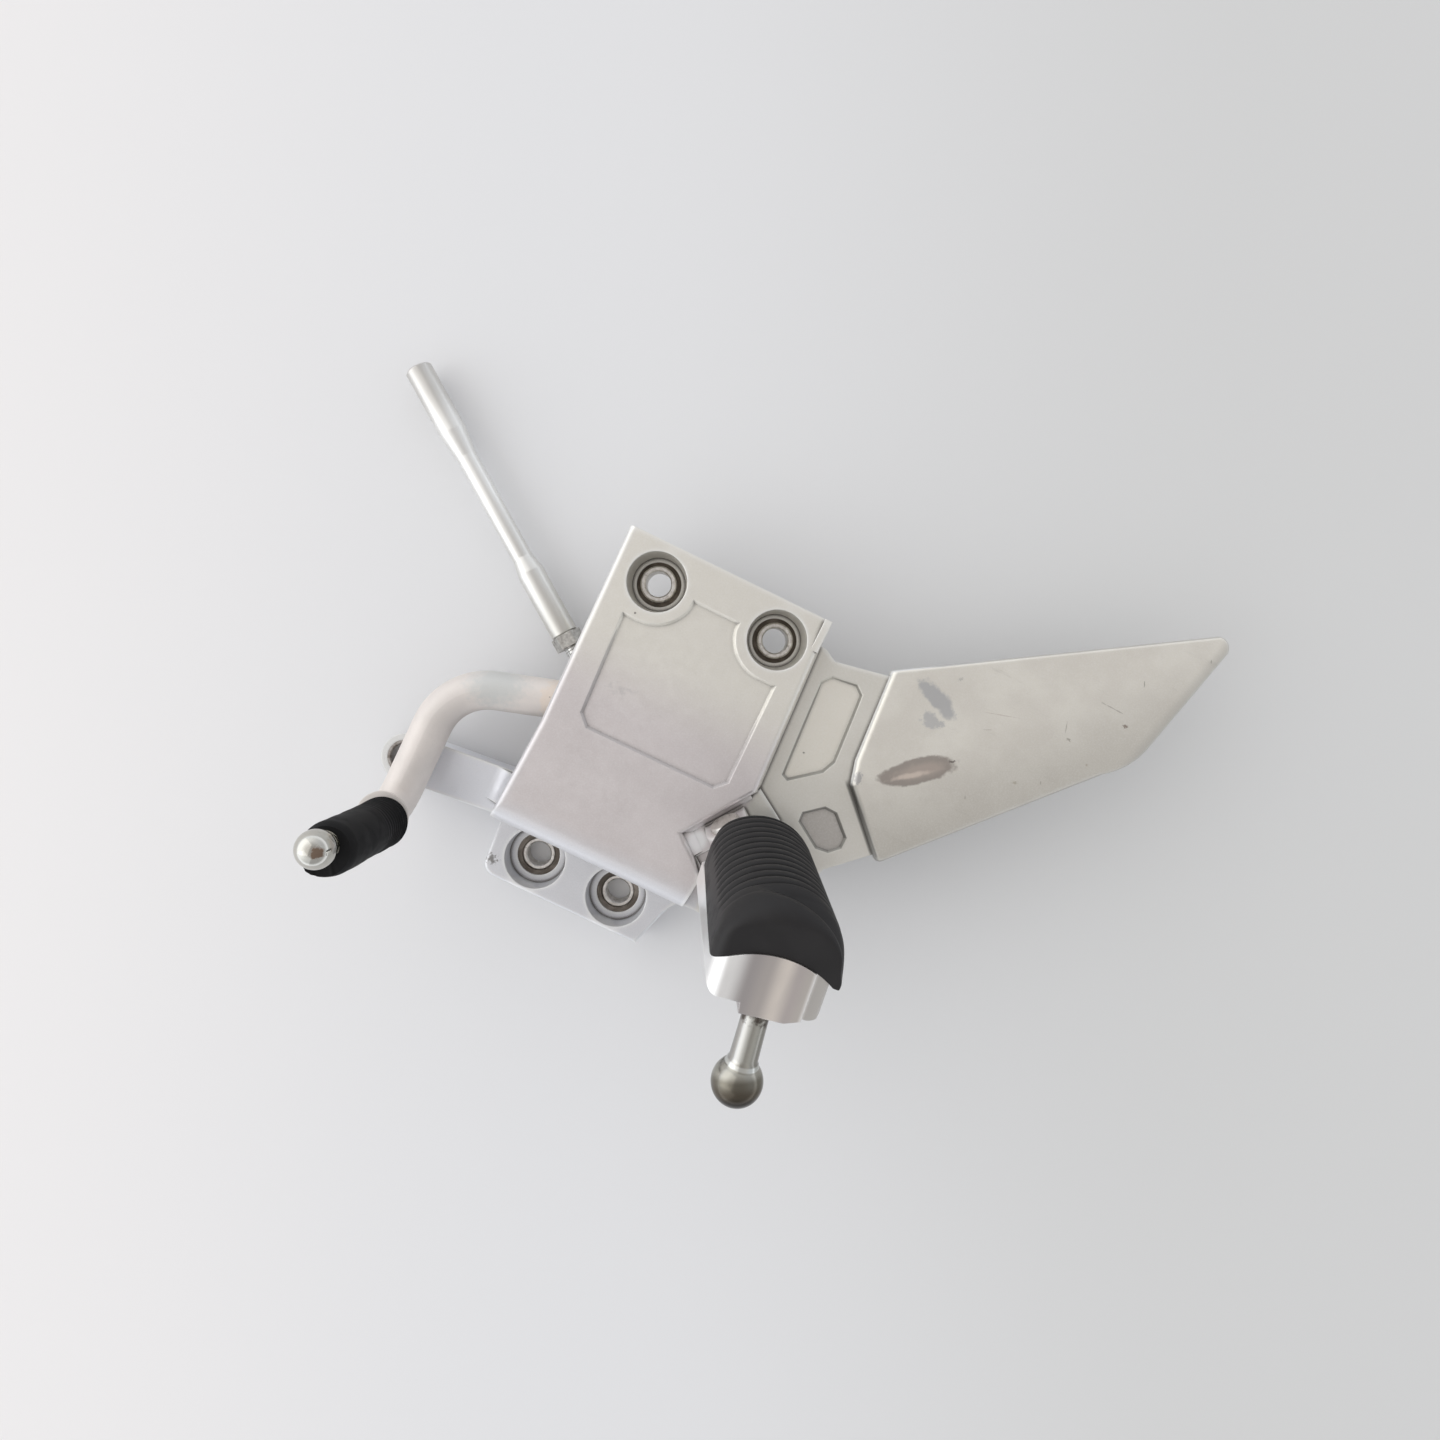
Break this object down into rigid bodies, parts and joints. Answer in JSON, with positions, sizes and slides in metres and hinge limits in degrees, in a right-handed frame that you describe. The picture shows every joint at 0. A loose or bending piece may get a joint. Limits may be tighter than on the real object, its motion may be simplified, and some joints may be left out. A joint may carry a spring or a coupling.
{
  "type": "motorcycle footrest hanger",
  "caption": "Cast alloy footrest hanger for the left of a motorcycle, with heel guard, folding rubber footpeg, gear pedal and shift link rod.",
  "frame": {"origin": "half way between the two lower bolts, on the lower mounting face", "axes": "+Z out of the plate's front face, +X rearwards along the bolt lines, +Y up the plate"},
  "size_m": [0.3048, 0.1935, 0.1207],
  "materials": {
    "cast_alloy": "satin clear-coated casting",
    "bush_rubber": "matte",
    "collar_steel": "turned",
    "stay_steel": "dull",
    "zinc_steel": "bright zinc",
    "pin_steel": "bright zinc",
    "spring_steel": "oiled",
    "pedal_alloy": "satin forging",
    "bronze_bush": "turned",
    "pedal_rubber": "matte, dusty",
    "cap_chrome": "polished, pitted",
    "peg_rubber": "matte, dusty",
    "carrier_alloy": "brushed bright",
    "feeler_steel": "bright, tarnished end"
  },
  "bodies": {
    "hanger": {"stay_collar": "stay_steel", "lower_front_bush": "bush_rubber", "lower_front_collar": "collar_steel", "lower_rear_bush": "bush_rubber", "lower_rear_collar": "collar_steel", "upper_front_bush": "bush_rubber", "upper_front_collar": "collar_steel", "upper_rear_bush": "bush_rubber", "upper_rear_collar": "collar_steel", "hanger_casting": "cast_alloy", "pivot_shaft": "pin_steel", "pivot_washer": "zinc_steel", "pivot_circlip": "spring_steel", "clevis_pin": "pin_steel", "pin_clip": "spring_steel", "peg_spring": "spring_steel"},
    "shift_pedal": {"pedal_arm": "pedal_alloy", "pedal_bush": "bronze_bush", "pedal_peg": "cap_chrome", "pedal_rubber": "pedal_rubber", "joint_bolt": "zinc_steel", "joint_nut": "zinc_steel", "joint_spacer": "zinc_steel"},
    "rod_ball": {"rod_ball": "pin_steel"},
    "shift_rod": {"rod_end": "zinc_steel", "rod_locknut": "zinc_steel", "rod_tube": "zinc_steel"},
    "footpeg": {"peg_carrier": "carrier_alloy", "peg_rubber": "peg_rubber", "rubber_screw_near": "zinc_steel", "rubber_screw_far": "zinc_steel", "bank_feeler": "feeler_steel"}
  },
  "joints": [
    {"name": "footpeg_fold", "type": "hinge", "parent": "hanger", "child": "footpeg", "pos_m": [0.0524, 0.0365, 0.044], "axis": [-0.7912, 0.5804, 0.1926], "range_deg": [0, 42], "stiffness_Nm_per_rad": 0.6, "springref_deg": -51.57},
    {"name": "pedal_turn", "type": "hinge", "parent": "hanger", "child": "shift_pedal", "pos_m": [0.0126, 0.072, 0.0235], "axis": [0, 0, 1], "range_deg": [-12, 12]},
    {"name": "rod_swing", "type": "hinge", "parent": "shift_pedal", "child": "rod_ball", "pos_m": [-0.019, 0.0624, 0.01], "axis": [0, 0, 1], "range_deg": [-20, 30]},
    {"name": "rod_tilt", "type": "hinge", "parent": "rod_ball", "child": "shift_rod", "pos_m": [-0.019, 0.0624, 0.01], "axis": [-0.5821, -0.8131, 0], "range_deg": [-12, 12]}
  ]
}
